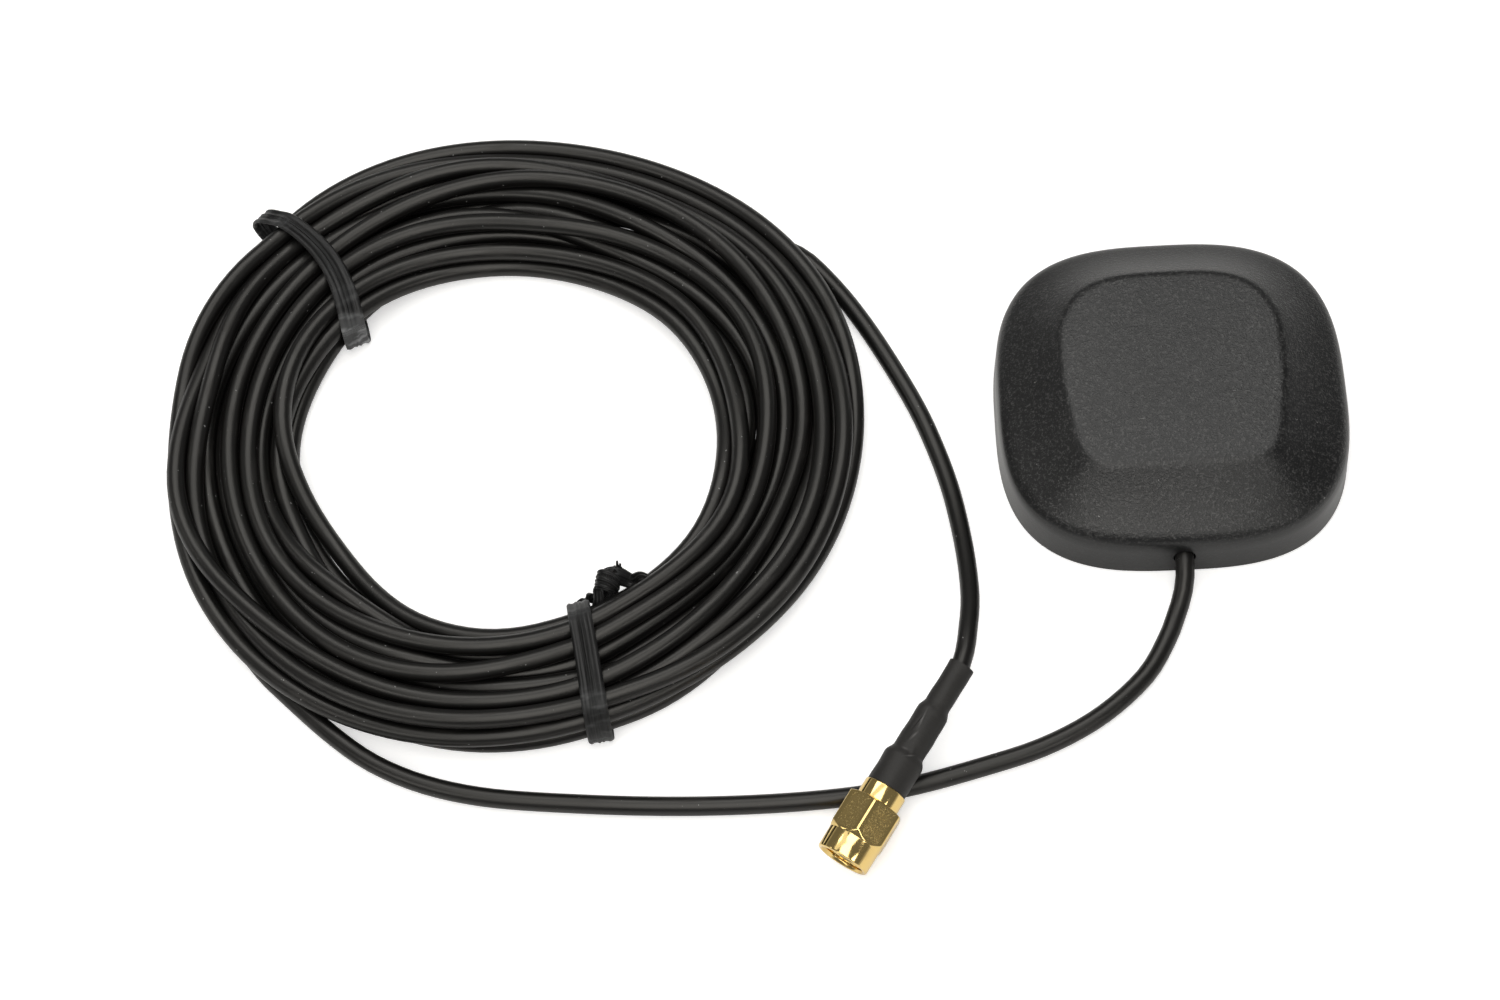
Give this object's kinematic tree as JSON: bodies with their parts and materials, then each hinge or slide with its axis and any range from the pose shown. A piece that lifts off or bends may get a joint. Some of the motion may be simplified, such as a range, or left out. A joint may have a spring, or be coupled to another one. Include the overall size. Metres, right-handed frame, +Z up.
{
  "type": "gps antenna",
  "caption": "Low square antenna puck with a magnetic base, a long thin coaxial lead wound and tied in a flat coil, and a screw-on coaxial plug.",
  "frame": {"origin": "middle of the puck's foot pad, on the surface that it stands on", "axes": "+Z up out of the pad; the lead leaves the puck's -Y side, and the coil lies towards -X"},
  "size_m": [0.1803, 0.1277, 0.0147],
  "materials": {
    "cover_plastic": "dark grey moulded plastic with a fine spark-eroded grain",
    "base_plastic": "plain dark moulded plastic",
    "black_rubber": "soft black rubber",
    "zinc_steel": "bright zinc-plated steel",
    "nickel_magnet": "nickel-plated magnet",
    "green_board": "green solder mask",
    "white_tape": "thin white adhesive tape",
    "cream_ceramic": "fired ceramic",
    "tinned_steel": "bright tinned sheet steel",
    "black_chip": "black moulding compound",
    "bare_copper": "bare copper alloy",
    "black_jacket": "black satin flexible jacket",
    "tie_plastic": "dark ribbed ribbon over a wire",
    "shrink_tube": "black shrink tube, matt with slight creases",
    "gold_plate": "gold-plated turned brass",
    "white_insulator": "white turned insulator",
    "red_silicone": "soft red silicone"
  },
  "bodies": {
    "antenna": {"radome_cover": "cover_plastic", "base_plate": "base_plastic", "foot_pad": "black_rubber", "seal_gasket": "black_rubber", "lead_seal": "black_rubber", "cover_screw_1": "zinc_steel", "cover_screw_2": "zinc_steel", "cover_screw_3": "zinc_steel", "cover_screw_4": "zinc_steel", "magnet": "nickel_magnet", "circuit_board": "green_board", "patch_tape": "white_tape", "ceramic_patch": "cream_ceramic", "feed_pin": "gold_plate", "shield_can": "tinned_steel", "amplifier_chip": "black_chip", "band_filter": "black_chip", "capacitor_1": "cream_ceramic", "capacitor_2": "cream_ceramic", "capacitor_3": "cream_ceramic", "capacitor_4": "cream_ceramic", "capacitor_5": "cream_ceramic", "capacitor_6": "cream_ceramic", "lead_core": "bare_copper", "antenna_lead": "black_jacket", "cable_coil": "black_jacket", "connector_lead": "black_jacket", "front_tie": "tie_plastic", "rear_tie": "tie_plastic", "shrink_sleeve": "shrink_tube", "crimp_ferrule": "gold_plate", "connector_body": "gold_plate", "insulator": "white_insulator", "centre_pin": "gold_plate", "sealing_ring": "red_silicone", "snap_ring": "bare_copper"},
    "nut": {"coupling_nut": "gold_plate"}
  },
  "joints": [
    {"name": "nut_spin", "type": "hinge", "parent": "antenna", "child": "nut", "pos_m": [-0.05168, -0.07122, 0.00423], "axis": [0.5528, 0.8227, 0.1328], "continuous": true}
  ]
}
